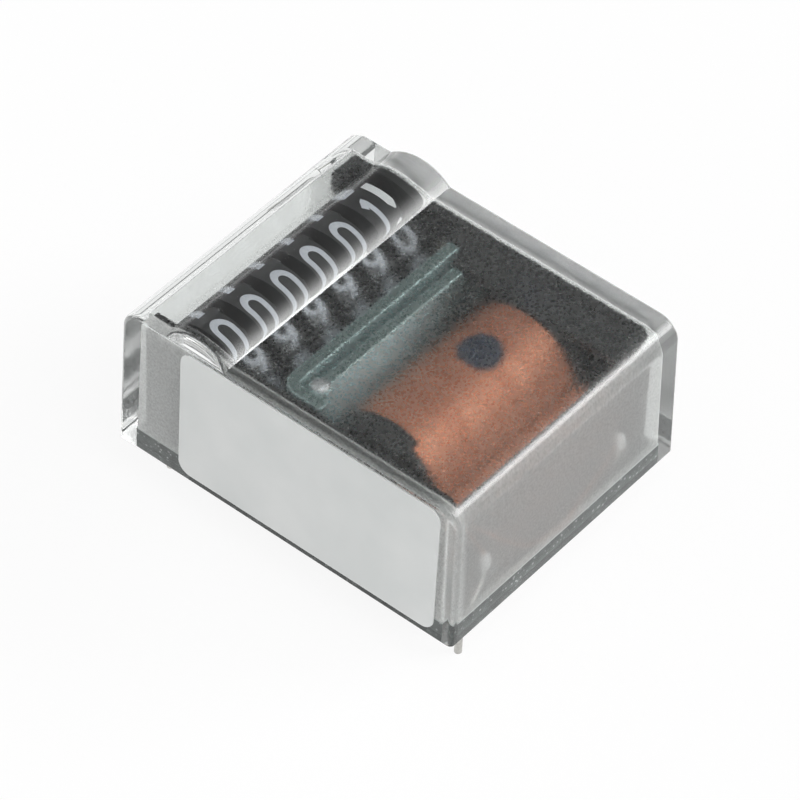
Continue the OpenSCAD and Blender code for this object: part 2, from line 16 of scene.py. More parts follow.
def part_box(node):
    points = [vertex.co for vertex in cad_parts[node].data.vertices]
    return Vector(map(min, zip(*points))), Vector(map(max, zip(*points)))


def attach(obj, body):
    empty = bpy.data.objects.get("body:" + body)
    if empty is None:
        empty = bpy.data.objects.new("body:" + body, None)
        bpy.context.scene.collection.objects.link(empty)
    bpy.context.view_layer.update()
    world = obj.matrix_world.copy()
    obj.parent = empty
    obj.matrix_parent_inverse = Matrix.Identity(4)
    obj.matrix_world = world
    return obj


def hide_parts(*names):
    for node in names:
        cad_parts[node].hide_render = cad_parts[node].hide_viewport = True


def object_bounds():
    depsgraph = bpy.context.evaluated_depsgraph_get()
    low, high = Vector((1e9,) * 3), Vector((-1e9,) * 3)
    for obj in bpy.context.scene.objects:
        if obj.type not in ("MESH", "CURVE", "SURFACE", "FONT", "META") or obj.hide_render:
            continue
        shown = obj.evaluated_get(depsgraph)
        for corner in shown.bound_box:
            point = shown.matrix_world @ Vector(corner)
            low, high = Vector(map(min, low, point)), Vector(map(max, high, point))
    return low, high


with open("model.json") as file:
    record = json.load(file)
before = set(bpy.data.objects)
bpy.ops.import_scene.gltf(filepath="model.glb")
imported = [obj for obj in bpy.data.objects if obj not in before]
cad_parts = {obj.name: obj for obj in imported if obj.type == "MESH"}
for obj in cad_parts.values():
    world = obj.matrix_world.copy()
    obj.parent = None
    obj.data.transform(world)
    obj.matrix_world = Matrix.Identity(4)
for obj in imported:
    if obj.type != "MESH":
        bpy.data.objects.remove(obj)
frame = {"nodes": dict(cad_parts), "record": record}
drawn_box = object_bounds()
nodes = frame["nodes"]
print("solids:", len(nodes), "box in mm:", [round(1000 * c, 2) for corner in drawn_box for c in corner])

# %% [markdown]
# ## Working in millimetres
#
# The walls are about a millimetre thick and the roundings a fraction of that. Blender's bevel and merge
# tools have limits that suit bigger numbers, so each new piece is modelled with one unit for a
# millimetre, and is brought down to metres when it is finished. Nothing may stay selected between
# pieces, because a tool acts on all that is.
#
# Three small lengths are used all over: NEAR finds edges that lie at a level, SLACK finds faces that lie
# along a rounded wall, and corners closer than MERGE become one.

# %% Helpers for modelling
NEAR, SLACK, MERGE = 0.01, 0.05, 0.0005


def start_clean():
    """Leave edit mode and let go of everything."""
    if bpy.context.object and bpy.context.object.mode != "OBJECT":
        bpy.ops.object.mode_set(mode="OBJECT")
    bpy.ops.object.select_all(action="DESELECT")


def hold(piece):
    """Make a piece the only one that is selected."""
    start_clean()
    piece.select_set(True)
    bpy.context.view_layer.objects.active = piece
    return piece


def added(name):
    """Name the primitive that was just added and put its turn and size into its mesh."""
    piece = bpy.context.object
    piece.name = piece.data.name = name
    bpy.ops.object.transform_apply(location=True, rotation=True, scale=True)
    return piece


def pick(piece, kind, wanted):
    """In edit mode, select the corners, edges or faces for which wanted() is true."""
    bpy.ops.mesh.select_mode(type=kind)
    bpy.ops.mesh.select_all(action="DESELECT")
    sheet = bmesh.from_edit_mesh(piece.data)
    parts = {"VERT": sheet.verts, "EDGE": sheet.edges, "FACE": sheet.faces}[kind]
    chosen = [part for part in parts if wanted(part)]
    for part in chosen:
        part.select_set(True)
    sheet.select_flush_mode()
    bmesh.update_edit_mesh(piece.data)
    return len(chosen)


def cut_with(piece, tool, how):
    """Join or cut a piece with another one, and throw the other away."""
    hold(piece)
    bpy.ops.object.modifier_add(type="BOOLEAN")
    change = piece.modifiers[-1]
    change.operation, change.object, change.solver = how, tool, "EXACT"
    bpy.ops.object.modifier_apply(modifier=change.name)
    bpy.data.objects.remove(tool)


def to_metres(piece):
    """Bring a finished piece from millimetres to metres, with its place in its mesh."""
    hold(piece)
    piece.matrix_world = Matrix.Scale(0.001, 4) @ piece.matrix_world
    bpy.ops.object.transform_apply(location=True, rotation=True, scale=True)
    print(piece.name, len(piece.data.vertices), "corners", len(piece.data.polygons), "faces")
    return piece


# %% [markdown]
# ## The clear cover, outside
#
# The real cover is one injection moulding. Its four walls lean in by about a degree so that it leaves
# the tool, the two long top edges are well rounded, the end edges hardly, and the rim's edge is only
# broken. A block is made, its top face is drawn in, and the edges are bevelled with many segments, because
# light bends at them and would show each flat.

# %% Block with leaning walls
HALF_X, HALF_Y, TALL = 13.12, 16.0, 13.57
LEAN_ANGLE = math.radians(1.05)
LEAN = math.tan(LEAN_ANGLE)
ROUND_Y, ROUND_X, ROUND_RIM = 1.9, 0.4, 0.12


def leaning_block(name, half_x, half_y, low, high):
    """A block whose walls lean in; the half sizes are those at the level of the rim."""
    start_clean()
    bottom = [half_x - low * LEAN, half_y - low * LEAN]
    top = [half_x - high * LEAN, half_y - high * LEAN]
    bpy.ops.mesh.primitive_cube_add(size=1, location=(0, 0, (low + high) / 2),
                                    scale=(2 * bottom[0], 2 * bottom[1], high - low))
    piece = added(name)
    bpy.ops.object.mode_set(mode="EDIT")
    pick(piece, "FACE", lambda face: face.normal.z > 0.9)
    bpy.ops.transform.resize(value=(top[0] / bottom[0], top[1] / bottom[1], 1),
                             center_override=(0, 0, high))
    return piece


cover = leaning_block("clear_cover", HALF_X, HALF_Y, 0, TALL)
long_edges = pick(cover, "EDGE", lambda edge: all(v.co.z > TALL - NEAR for v in edge.verts)
                  and abs(edge.verts[0].co.y - edge.verts[1].co.y) < NEAR)
reach = ROUND_Y * math.tan((math.pi / 2 - LEAN_ANGLE) / 2)
bpy.ops.mesh.bevel(offset=reach, segments=24, profile=0.5, affect="EDGES")
end_edges = pick(cover, "EDGE", lambda edge: any(abs(face.normal.x) > 0.99 for face in edge.link_faces)
                 and max(v.co.z for v in edge.verts) > NEAR)
bpy.ops.mesh.bevel(offset=ROUND_X, segments=6, profile=0.5, affect="EDGES")
rim_edges = pick(cover, "EDGE", lambda edge: all(v.co.z < NEAR for v in edge.verts))
bpy.ops.mesh.bevel(offset=ROUND_RIM, segments=3, profile=0.5, affect="EDGES")
bpy.ops.object.mode_set(mode="OBJECT")
print("rounded", long_edges, "long,", end_edges, "end and", rim_edges, "rim edges")

# %% [markdown]
# ## The magnifying bar
#
# Over the figures the moulding rises in a round bar that works as a lens. A cylinder lies along the row,
# its lower part is cut off inside the top, and its ends are cut along the leaning end walls, a hair
# inside them, because a join is unsure where two faces lie in one plane. It is joined to the block, so
# that no inner face is left to bend the light.

# %% Bar
BAR_Y, BAR_Z, BAR_R = 8.7, 10.6, 4.15
BAR_LOW = 13.0
BAR_SPARE, END_IN = 2, 0.006


def end_face(face):
    return abs(face.normal.x) > 0.99


start_clean()
bpy.ops.mesh.primitive_cylinder_add(vertices=360, radius=BAR_R, depth=2 * HALF_X + BAR_SPARE,
                                    location=(0, BAR_Y, BAR_Z), rotation=(0, math.pi / 2, 0))
bar = added("bar")
bpy.ops.object.mode_set(mode="EDIT")
bpy.ops.mesh.select_all(action="SELECT")
bpy.ops.mesh.bisect(plane_co=(0, 0, BAR_LOW), plane_no=(0, 0, -1), use_fill=True, clear_outer=True)
for side in (-1, 1):
    bpy.ops.mesh.select_all(action="SELECT")
    bpy.ops.mesh.bisect(plane_co=(side * (HALF_X - END_IN), 0, 0), plane_no=(side, 0, LEAN),
                        use_fill=True, clear_outer=True)
pick(bar, "EDGE", lambda edge: any(end_face(f) for f in edge.link_faces)
     and max(v.co.z for v in edge.verts) > BAR_LOW + NEAR)
bpy.ops.mesh.bevel(offset=ROUND_X, segments=6, profile=0.5, affect="EDGES")
bpy.ops.object.mode_set(mode="OBJECT")
cut_with(cover, bar, "UNION")
print("cover with bar:", len(cover.data.polygons), "faces")

# %% [markdown]
# ## The room inside
#
# The inside is a second leaning block, cut away. Its walls stand a hundredth of a millimetre inside the
# drawn ones, so that the cast sealing bead is in touch with the clear wall, as the real one is, and no
# film of air lies between them. Under the bar the tool has a small polished pad with sloping sides: the
# spot where one can look in clearly. Both cutting shapes reach past the skin that they cut.

# %% Hollow and window
WALL, ROOF, SKIN = 1.3, 12.37, 0.012
ROOM_ROUND, ROOM_BELOW, PAD_BELOW = 0.3, 1.0, 0.5
room = leaning_block("room", HALF_X - WALL - SKIN, HALF_Y - WALL - SKIN, -ROOM_BELOW, ROOF)
pick(room, "EDGE", lambda edge: max(v.co.z for v in edge.verts) > ROOF - NEAR)
bpy.ops.mesh.bevel(offset=ROOM_ROUND, segments=4, profile=0.5, affect="EDGES")
bpy.ops.object.mode_set(mode="OBJECT")
cut_with(cover, room, "DIFFERENCE")

PAD_WIDE, PAD_LONG, PAD_Y, PAD_DEEP = 22.1, 4.1, 8.65, 0.06
FOOT_WIDE, FOOT_LONG = PAD_WIDE + 2 * PAD_DEEP, PAD_LONG + 2 * PAD_DEEP
start_clean()
bpy.ops.mesh.primitive_cube_add(size=1, location=(0, PAD_Y, ROOF + PAD_DEEP / 2),
                                scale=(FOOT_WIDE, FOOT_LONG, PAD_DEEP))
pad = added("pad")
bpy.ops.object.mode_set(mode="EDIT")
pick(pad, "FACE", lambda face: face.normal.z > 0.9)
bpy.ops.transform.resize(value=(PAD_WIDE / FOOT_WIDE, PAD_LONG / FOOT_LONG, 1),
                         center_override=(0, PAD_Y, ROOF))
pick(pad, "FACE", lambda face: face.normal.z < -0.9)
bpy.ops.transform.translate(value=(0, 0, -PAD_BELOW))
bpy.ops.object.mode_set(mode="OBJECT")
cut_with(cover, pad, "DIFFERENCE")
print("hollow cover:", len(cover.data.polygons), "faces")

# %% [markdown]
# ## Close, smooth and split by finish
#
# The joined mesh is merged and its faces are turned outwards. Every inner face but the polished pad was
# fine-spark finished in the tool and scatters light; the outside is bright. So one closed mesh carries
# all its finishes, and light meets exactly one surface wherever it passes.

# %% Finish the cover's mesh
hold(cover)
bpy.ops.object.mode_set(mode="EDIT")
bpy.ops.mesh.select_all(action="SELECT")
bpy.ops.mesh.remove_doubles(threshold=MERGE)
bpy.ops.mesh.normals_make_consistent(inside=False)
bpy.ops.object.mode_set(mode="OBJECT")


def inside(spot):
    """True for a spot on the walls or roof of the room, above the rim."""
    far = spot.z * LEAN + WALL - SLACK
    return abs(spot.x) < HALF_X - far and abs(spot.y) < HALF_Y - far and NEAR < spot.z < ROOF + NEAR


frosted_faces = [face.index for face in cover.data.polygons if inside(face.center)]
bpy.ops.object.shade_smooth_by_angle(angle=math.radians(25))
bpy.ops.object.modifier_add(type="WEIGHTED_NORMAL")
cover.modifiers[-1].keep_sharp = True
cover.modifiers[-1].weight = 100
bpy.ops.object.modifier_apply(modifier=cover.modifiers[-1].name)
to_metres(cover)
print("frosted faces:", len(frosted_faces), "of", len(cover.data.polygons))
sheet = bmesh.new()
sheet.from_mesh(cover.data)
open_edges = sum(not edge.is_manifold for edge in sheet.edges)
print("open edges:", open_edges, "volume mm3:", round(sheet.calc_volume() * 1e9, 1))
sheet.free()
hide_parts("cover")
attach(cover, "housing")

# %% [markdown]
# ## Stamped strips
#
# The yoke and the armature are punched from strip steel, and tumbling has rounded their edges by about a
# third of a millimetre. Those edges are what shows through the roof: two fine bright ridges. The drawn
# solids have sharp edges, so each gets a copy whose edges are bevelled. The copy is merged first, because
# a solid's mesh comes as loose triangles, and flat faces are joined, so that only true edges are rounded.

# %% Round the edges of the two strips
TUMBLED_R, LOOSE = 0.32, 0.002


def tumbled(node, body):
    """A copy of a drawn solid with its sharp edges rounded."""
    start_clean()
    piece = bpy.data.objects.new("tumbled_" + node, nodes[node].data.copy())
    piece.data.name = piece.name
    bpy.context.scene.collection.objects.link(piece)
    hold(piece)
    piece.matrix_world = Matrix.Scale(1000, 4)
    bpy.ops.object.transform_apply(location=True, rotation=True, scale=True)
    bpy.ops.object.mode_set(mode="EDIT")
    bpy.ops.mesh.select_all(action="SELECT")
    bpy.ops.mesh.remove_doubles(threshold=LOOSE)
    bpy.ops.mesh.dissolve_limited(angle_limit=math.radians(1))
    bpy.ops.mesh.normals_make_consistent(inside=False)
    bpy.ops.object.mode_set(mode="OBJECT")
    bpy.ops.object.modifier_add(type="BEVEL")
    change = piece.modifiers[-1]
    change.width, change.segments, change.limit_method = TUMBLED_R, 3, "ANGLE"
    change.angle_limit = math.radians(45)
    bpy.ops.object.modifier_apply(modifier=change.name)
    bpy.ops.object.shade_smooth_by_angle(angle=math.radians(50))
    bpy.ops.object.modifier_add(type="WEIGHTED_NORMAL")
    bpy.ops.object.modifier_apply(modifier=piece.modifiers[-1].name)
    to_metres(piece)
    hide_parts(node)
    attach(piece, body)
    return piece


strips = [tumbled("yoke", "housing"), tumbled("armature", "armature")]

# %% [markdown]
# ## The printed figures
#
# Each drum carries ten pale figures, hot-stamped on its black ring. A figure is drawn flat with strokes
# of one width, like the real ones: round-ended lines along a path. True letters from a font would have
# strokes of two widths. A path that is marked True closes on itself.

# %% Strokes of the ten figures
STROKE = 0.43
FIGURE_WIDE, FIGURE_HIGH = 1.74, 2.52
WIDE, HIGH = (FIGURE_WIDE - STROKE) / 2, (FIGURE_HIGH - STROKE) / 2


def arc(x, y, rx, ry, start, stop, steps=14):
    """Points along part of an ellipse round a middle, between two angles."""
    turn = [math.radians(start + (stop - start) * k / steps) for k in range(steps + 1)]
    return [(x + rx * math.cos(a), y + ry * math.sin(a)) for a in turn]


def evenly(path, step=0.12):
    """The same path with points at short steps, so that a straight stroke can bend round the drum."""
    close = path[:1]
    for start, stop in zip(path, path[1:]):
        count = max(1, math.ceil(math.dist(start, stop) / step))
        close += [tuple(a + (b - a) * k / count for a, b in zip(start, stop)) for k in range(1, count + 1)]
    return close


FIGURES = {
    0: [(True, arc(0, HIGH - WIDE, WIDE, WIDE, 0, 180) + arc(0, WIDE - HIGH, WIDE, WIDE, 180, 360))],
    1: [(False, [(-0.44, HIGH - 0.36), (0.04, HIGH + 0.04), (0.04, -HIGH)]),
        (False, [(-0.3, -HIGH), (0.42, -HIGH)])],
    2: [(False, arc(0, HIGH - WIDE, WIDE, WIDE, 165, -35) + [(-WIDE, -HIGH), (WIDE, -HIGH)])],
    3: [(False, arc(0, HIGH - 0.47, WIDE * 0.93, 0.47, 150, -90)
         + arc(0, -HIGH + 0.47, WIDE, 0.47, 90, -150))],
    4: [(False, [(0.3, -HIGH), (0.3, HIGH), (-WIDE, -0.38), (WIDE, -0.38)])],
    5: [(False, [(WIDE * 0.9, HIGH), (-WIDE * 0.85, HIGH), (-WIDE * 0.9, 0.12)]
         + arc(0, -HIGH + 0.6, WIDE, 0.6, 125, -150))],
    6: [(True, arc(0, -HIGH + 0.6, WIDE, 0.6, 0, 360)),
        (False, arc(0.35, -0.3, WIDE + 0.35, HIGH + 0.3, 180, 100))],
    7: [(False, [(-WIDE, HIGH), (WIDE, HIGH), (-0.2, -HIGH)])],
    8: [(True, arc(0, HIGH - 0.44, WIDE * 0.88, 0.44, 0, 360)),
        (True, arc(0, -HIGH + 0.48, WIDE, 0.48, 0, 360))],
    9: [(True, arc(0, HIGH - 0.6, WIDE, 0.6, 0, 360)),
        (False, arc(-0.35, 0.3, WIDE + 0.35, HIGH + 0.3, 0, -80))],
}
print("strokes of each figure:", [len(FIGURES[number]) for number in range(10)])

# %% [markdown]
# ## A skin of ink
#
# Hot foil leaves a thin skin with soft edges. A curve with a round section gives each stroke its width
# and its round ends, and squeezing it flat leaves such a skin.

# %% One flat figure after the other
INK = 0.02


def flat_figure(number):
    """A figure as a thin closed skin in the plane of its drawing, one unit for a millimetre."""
    start_clean()
    bpy.ops.curve.primitive_bezier_curve_add()
    line = bpy.context.object
    line.name = "figure_%d" % number
    line.data.splines.clear()
    line.data.dimensions, line.data.fill_mode = "3D", "FULL"
    line.data.bevel_depth, line.data.bevel_resolution, line.data.use_fill_caps = STROKE / 2, 3, True
    for closed, path in FIGURES[number]:
        path = evenly(path + path[:1] if closed else path)
        if closed:
            path = path[:-1]
        stroke = line.data.splines.new("POLY")
        stroke.points.add(len(path) - 1)
        for point, (x, y) in zip(stroke.points, path):
            point.co = (x, y, 0, 1)
        stroke.use_cyclic_u = closed
    bpy.ops.object.convert(target="MESH")
    skin = bpy.context.object
    skin.scale = (1, 1, INK / (STROKE / 2))
    bpy.ops.object.transform_apply(location=True, rotation=True, scale=True)
    return skin


figures = [flat_figure(number) for number in range(10)]
print("figures drawn:", [len(f.data.polygons) for f in figures])

# %% [markdown]
# ## Round the drums
#
# The figures stand a tenth of a turn apart. The row shows five noughts and a one, so the drum of the
# units is printed a tenth of a turn further on, and the whole row stands a few degrees past the top.
# Distance along the ring becomes an angle, height of the ink becomes distance from the axle.

# %% Lay the figures round each drum
DRUM_Y, DRUM_Z, DRUM_R = 8.8, 7.0, 4.8
TURNED, TENTH = 3.1, 36
DRUMS = ["units", "tens", "hundreds", "thousands", "ten_thousands", "hundred_thousands"]


def laid_round(skin, name, middle_x, angle):
    """A copy of a flat skin, laid on the drum with its middle at an angle from the top towards +Y."""
    start_clean()
    copy = skin.copy()
    copy.data = skin.data.copy()
    copy.name = name
    bpy.context.scene.collection.objects.link(copy)
    for corner in copy.data.vertices:
        x, y, z = corner.co
        turn = math.radians(angle) + y / DRUM_R
        far = DRUM_R + z
        corner.co = (middle_x + x, DRUM_Y + far * math.sin(turn), DRUM_Z + far * math.cos(turn))
    return copy


printed = []
for place, name in enumerate(DRUMS):
    low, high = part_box("drum_" + name)
    middle = 1000 * (low.x + high.x) / 2
    shown = 1 if place == 0 else 0
    ring = [laid_round(figures[n], "ink", middle, TURNED + TENTH * (n - shown)) for n in range(10)]
    hold(ring[0])
    for one in ring:
        one.select_set(True)
    bpy.ops.object.join()
    figure_ring = bpy.context.object
    figure_ring.name = figure_ring.data.name = "figures_" + name
    bpy.ops.object.mode_set(mode="EDIT")
    bpy.ops.mesh.select_all(action="SELECT")
    bpy.ops.mesh.remove_doubles(threshold=MERGE)
    bpy.ops.mesh.normals_make_consistent(inside=False)
    bpy.ops.object.mode_set(mode="OBJECT")
    bpy.ops.object.shade_smooth_by_angle(angle=math.radians(40))
    to_metres(figure_ring)
    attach(figure_ring, "drum_" + name)
    printed.append(figure_ring)
for skin in figures:
    bpy.data.objects.remove(skin)

# %% [markdown]
# ## The index stroke
#
# Beside the last figure a white stroke on the rim of the escape wheel shows that the counter steps. It
# is a narrow stamped strip that narrows at its near end: a grid of faces, laid on the rim and given the
# thickness of ink.

# %% Index stroke on the escape wheel
RIM_R = 4.7
STROKE_X, STROKE_HALF = 9.43, 0.33
STROKE_FROM, STROKE_SWEEP = 3.5, 21
TAPER_LONG, TAPER = 0.16, 1.6
start_clean()
bpy.ops.mesh.primitive_grid_add(x_subdivisions=4, y_subdivisions=24, size=1)
stroke = added("index_stroke")
for corner in stroke.data.vertices:
    across, along = corner.co.x, corner.co.y + 0.5
    turn = math.radians(STROKE_FROM + STROKE_SWEEP * along)
    wide = 2 * (STROKE_HALF - TAPER * max(0.0, TAPER_LONG - along))
    corner.co = (STROKE_X + wide * across, DRUM_Y + RIM_R * math.sin(turn), DRUM_Z + RIM_R * math.cos(turn))
bpy.ops.object.modifier_add(type="SOLIDIFY")
stroke.modifiers[-1].thickness, stroke.modifiers[-1].offset = INK, 0
bpy.ops.object.modifier_apply(modifier=stroke.modifiers[-1].name)
bpy.ops.object.mode_set(mode="EDIT")
bpy.ops.mesh.select_all(action="SELECT")
bpy.ops.mesh.normals_make_consistent(inside=False)
bpy.ops.object.mode_set(mode="OBJECT")
bpy.ops.object.shade_smooth_by_angle(angle=math.radians(40))
to_metres(stroke)
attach(stroke, "drum_units")

# %% [markdown]
# ## Writing finishes as sums
#
# A finish is a small network of nodes. To read it like a sum, a class wraps a socket and answers to
# + - * and to < and >; one method adds any other node. The room's light is such a network too, so what
# both need stands in a class of its own. Colours are written as they look on a screen.

# %% Helper classes for finishes
def tone(red, green, blue):
    """A colour as it looks on a screen, 0 to 255, in the linear values that shaders use."""
    parts = [c / 255 for c in (red, green, blue)]
    return tuple(c / 12.92 if c <= 0.04045 else ((c + 0.055) / 1.055) ** 2.4 for c in parts) + (1.0,)


class Value:
    """What comes out of a node, ready for sums."""

    def __init__(self, network, socket):
        self.network, self.socket = network, socket

    def sum(self, operation, first, second):
        return self.network.put("Math", {"operation": operation}, {0: first, 1: second})

    def __add__(self, other):
        return self.sum("ADD", self, other)

    def __sub__(self, other):
        return self.sum("SUBTRACT", self, other)

    def __rsub__(self, other):
        return self.sum("SUBTRACT", other, self)

    def __mul__(self, other):
        return self.sum("MULTIPLY", self, other)

    def __gt__(self, other):
        return self.sum("GREATER_THAN", self, other)

    def __lt__(self, other):
        return self.sum("LESS_THAN", self, other)

    __radd__, __rmul__ = __add__, __mul__


class Network:
    """The nodes of a material or of a world."""

    def __init__(self, tree):
        self.tree = tree
        tree.nodes.clear()

    def put(self, kind, settings=None, inputs=None, out=0):
        """Add a node: its settings first, then the values or links of its sockets."""
        node = self.tree.nodes.new("ShaderNode" + kind)
        for key, value in (settings or {}).items():
            setattr(node, key, value)
        for key, value in (inputs or {}).items():
            if isinstance(value, Value):
                self.tree.links.new(value.socket, node.inputs[key])
            else:
                node.inputs[key].default_value = value
        return Value(self, node.outputs[out]) if node.outputs else None

    def rays(self, *kinds):
        """For each kind of ray, 1 where the light path is one and 0 elsewhere."""
        return [self.put("LightPath", out="Is %s Ray" % kind) for kind in kinds]


class Finish(Network):
    """A material under construction."""

    def __init__(self, name):
        self.material = bpy.data.materials.new(name)
        self.material.use_nodes = True
        super().__init__(self.material.node_tree)
        self.place = self.put("TexCoord", out="Object")

    def grain(self, size, detail=3.0, stretch=(1, 1, 1)):
        """Noise from 0 to 1 whose lumps measure about size millimetres."""
        spot = self.put("Mapping", {}, {"Vector": self.place, "Scale": [1000 / size * s for s in stretch]})
        return self.put("TexNoise", {}, {"Vector": spot, "Scale": 1.0, "Detail": detail})

    def spread(self, value, low, high, start, stop):
        """Carry a value from the range low-high to the range start-stop."""
        return self.put("MapRange", {}, {"Value": value, "From Min": low, "From Max": high,
                                         "To Min": start, "To Max": stop})

    def between(self, noise, start, stop):
        """Carry a noise, most of which lies from 0.3 to 0.7, to the range start-stop."""
        return self.spread(noise, 0.3, 0.7, start, stop)

    def blend(self, share, first, second):
        """Mix two colours by a share from 0 to 1."""
        return self.put("Mix", {"data_type": "RGBA"}, {0: share, 6: first, 7: second}, out=2)

    def relief(self, height, strength, depth):
        """Turn a height into a bump of so many millimetres."""
        return self.put("Bump", {}, {"Height": height, "Strength": strength, "Distance": depth / 1000})

    def axis(self, which):
        """One coordinate in millimetres."""
        return self.put("SeparateXYZ", {}, {0: self.place}, out=which) * 1000.0

    def surface(self, **sockets):
        """The shader that most finishes end in."""
        named = {key.replace("_", " "): value for key, value in sockets.items()}
        return self.put("BsdfPrincipled", {}, named)

    def done(self, shader):
        self.put("OutputMaterial", {}, {"Surface": shader})
        return self.material


# %% [markdown]
# ## Clear plastic, bright and frosted
#
# Acrylic bends light by 1.49. The outside is bright, with the faintest waviness. The inside was spark
# finished in the tool: under a glass it is a field of tiny pits. A rough skin alone would only blur what
# lies behind, while real pits also throw light back, each as a pale speck. So a fine grain mixes a little
# white scatter into the clear skin, less of it on the roof and more on the walls, whose texture is coarser.
#
# Two places differ. Beyond the bar, over the back of the drums, the tool was left nearly smooth, and the
# pale floor shows through. The end wall behind the label is the palest, and throws more light back than on.
# The values below are the two levels, along Y or X, between which each of these changes, and the change.

# %% Clear finishes
finish = Finish("clear_bright")
wave = finish.relief(finish.grain(6.0, 1.0), 0.15, 0.02)
clear_bright = finish.done(finish.surface(Base_Color=tone(250, 252, 251), Roughness=0.0, IOR=1.49,
                                          Transmission_Weight=1.0, Normal=wave))

SPECK, LUMP = 0.18, 0.24
SMOOTH_Y, SMOOTH_X, SMOOTHER = (12.5, 12.9), ((-11.6, -11.3), (6.2, 7.6)), 0.6
END_WALL, WHITE_THERE, THROWN_ON = (-11.7, -11.0), (1.8, 1.0), (0.36, 0.5)


def frosted(name, low, high, pale, salt, rough, pit, far):
    """Clear plastic with a pitted skin: pale is the even share of white scatter, salt that of the specks.

    Beyond the bar the skin is smoother: far tells how much of the scatter is missing there."""
    finish = Finish(name)
    speck = finish.grain(SPECK, 2.0)
    lump = finish.grain(LUMP, 2.0)
    skin = finish.relief(lump, 1.0, pit)
    along = finish.axis(0)
    beyond = (finish.spread(finish.axis(1), *SMOOTH_Y, 0.0, far)
              * finish.spread(along, *SMOOTH_X[0], 0.0, 1.0) * finish.spread(along, *SMOOTH_X[1], 1.0, 0.0))
    blur = finish.between(lump, *rough) * (1.0 - beyond * SMOOTHER)
    clear = finish.surface(Base_Color=tone(249, 251, 250), Roughness=blur, IOR=1.49,
                           Transmission_Weight=1.0, Normal=skin)
    back = finish.put("BsdfDiffuse", {}, {"Color": tone(250, 251, 250)})
    forth = finish.put("BsdfTranslucent", {}, {"Color": tone(250, 251, 250)})
    white = finish.put("MixShader", {}, {0: finish.spread(along, *END_WALL, *THROWN_ON), 1: back, 2: forth})
    share = finish.spread(speck, low, high, pale, salt)
    share = share * (1.0 - beyond) * finish.spread(along, *END_WALL, *WHITE_THERE)
    return finish.done(finish.put("MixShader", {}, {0: share, 1: clear, 2: white}))


roof_frosted = frosted("roof_frosted", low=0.5, high=0.72, pale=0.0, salt=0.18,
                       rough=(0.24, 0.32), pit=0.045, far=1.0)
wall_frosted = frosted("wall_frosted", low=0.3, high=0.7, pale=0.38, salt=0.54,
                       rough=(0.08, 0.13), pit=0.006, far=0.95)

cover.data.materials.clear()
for skin in (clear_bright, roof_frosted, wall_frosted):
    cover.data.materials.append(skin)
for index in frosted_faces:
    face = cover.data.polygons[index]
    face.material_index = 1 if abs(face.normal.z) > 0.7 else 2
print("clear finishes on", cover.name)

# %% [markdown]
# ## Mouldings, resin and label
#
# The frame, the coil former and the drums are black mouldings with a fine matt skin. The closing plate is
# dark grey. The sealing bead was cast from grey resin and holds tiny air bubbles; along its top a paler
# band is painted, a painted highlight. The label is a satin film with nothing on it.
#
# The skin of a moulding could be a picture, but noise has no seams and fits every size. So one function
# gives each moulding a fine relief and a slow change between two tones. The bubbles are the small cells of
# a Voronoi pattern, shown only where a slow cloud lets them.

# %% Matt finishes
PALER = 1.5


def moulding(name, colour, low, high, size=0.25, depth=0.01, lift=1.0):
    """A moulded plastic with a fine skin, and slow patches of a paler tone."""
    finish = Finish(name)
    skin = finish.grain(size, 4.0)
    patch = finish.grain(2.5, 2.0)
    pale = [min(1.0, c * PALER * lift + 0.004) for c in colour[:3]] + [1.0]
    body = finish.blend(finish.between(patch, 0.0, 1.0), colour, pale)
    return finish.done(finish.surface(Base_Color=body, Roughness=finish.between(skin, low, high),
                                      Normal=finish.relief(skin, 0.4, depth)))


finishes = {
    "black_moulding": moulding("black_moulding", tone(18, 18, 19), 0.42, 0.62),
    "drum_black": moulding("drum_black", tone(22, 22, 25), 0.35, 0.5, 0.2, 0.006),
    "pale_moulding": moulding("pale_moulding", tone(206, 203, 194), 0.35, 0.5, 0.3, 0.006, 0.72),
    "base": moulding("base", tone(46, 47, 47), 0.4, 0.6),
}

BUBBLES_PER_M = 2600.0
BEAD_TOP_PAINTED_HIGHLIGHT = (1.18, 1.24)
finish = Finish("sealant")
spots = finish.put("TexVoronoi", {}, {"Vector": finish.place, "Scale": BUBBLES_PER_M})
bubble = finish.spread(spots, 0.16, 0.3, 1.0, 0.0)
cloud = finish.spread(finish.grain(0.9, 3.0), 0.35, 0.7, 0.0, 1.0)
resin = finish.blend(cloud, tone(62, 68, 67), tone(92, 100, 98))
resin = finish.blend(bubble * cloud, resin, tone(225, 227, 227))
# Painted highlight: the top of the bead is coloured paler.
resin = finish.blend(finish.spread(finish.axis(2), *BEAD_TOP_PAINTED_HIGHLIGHT, 0.0, 0.9), resin, tone(214, 219, 217))
finishes["sealant"] = finish.done(finish.surface(Base_Color=resin, Roughness=0.22,
                                                 Normal=finish.relief(finish.grain(0.5, 2.0), 0.5, 0.03)))

finish = Finish("label")
fibre = finish.grain(0.5, 4.0)
patch = finish.grain(5.0, 2.0)
surface_colour = finish.blend(finish.between(patch, 0.0, 1.0), tone(206, 209, 208), tone(214, 216, 215))
satin = finish.between(fibre, 0.3, 0.42)
finishes["label"] = finish.done(finish.surface(Base_Color=surface_colour, Roughness=satin,
                                               Normal=finish.relief(fibre, 0.25, 0.01)))
print("matt finishes:", sorted(finishes))
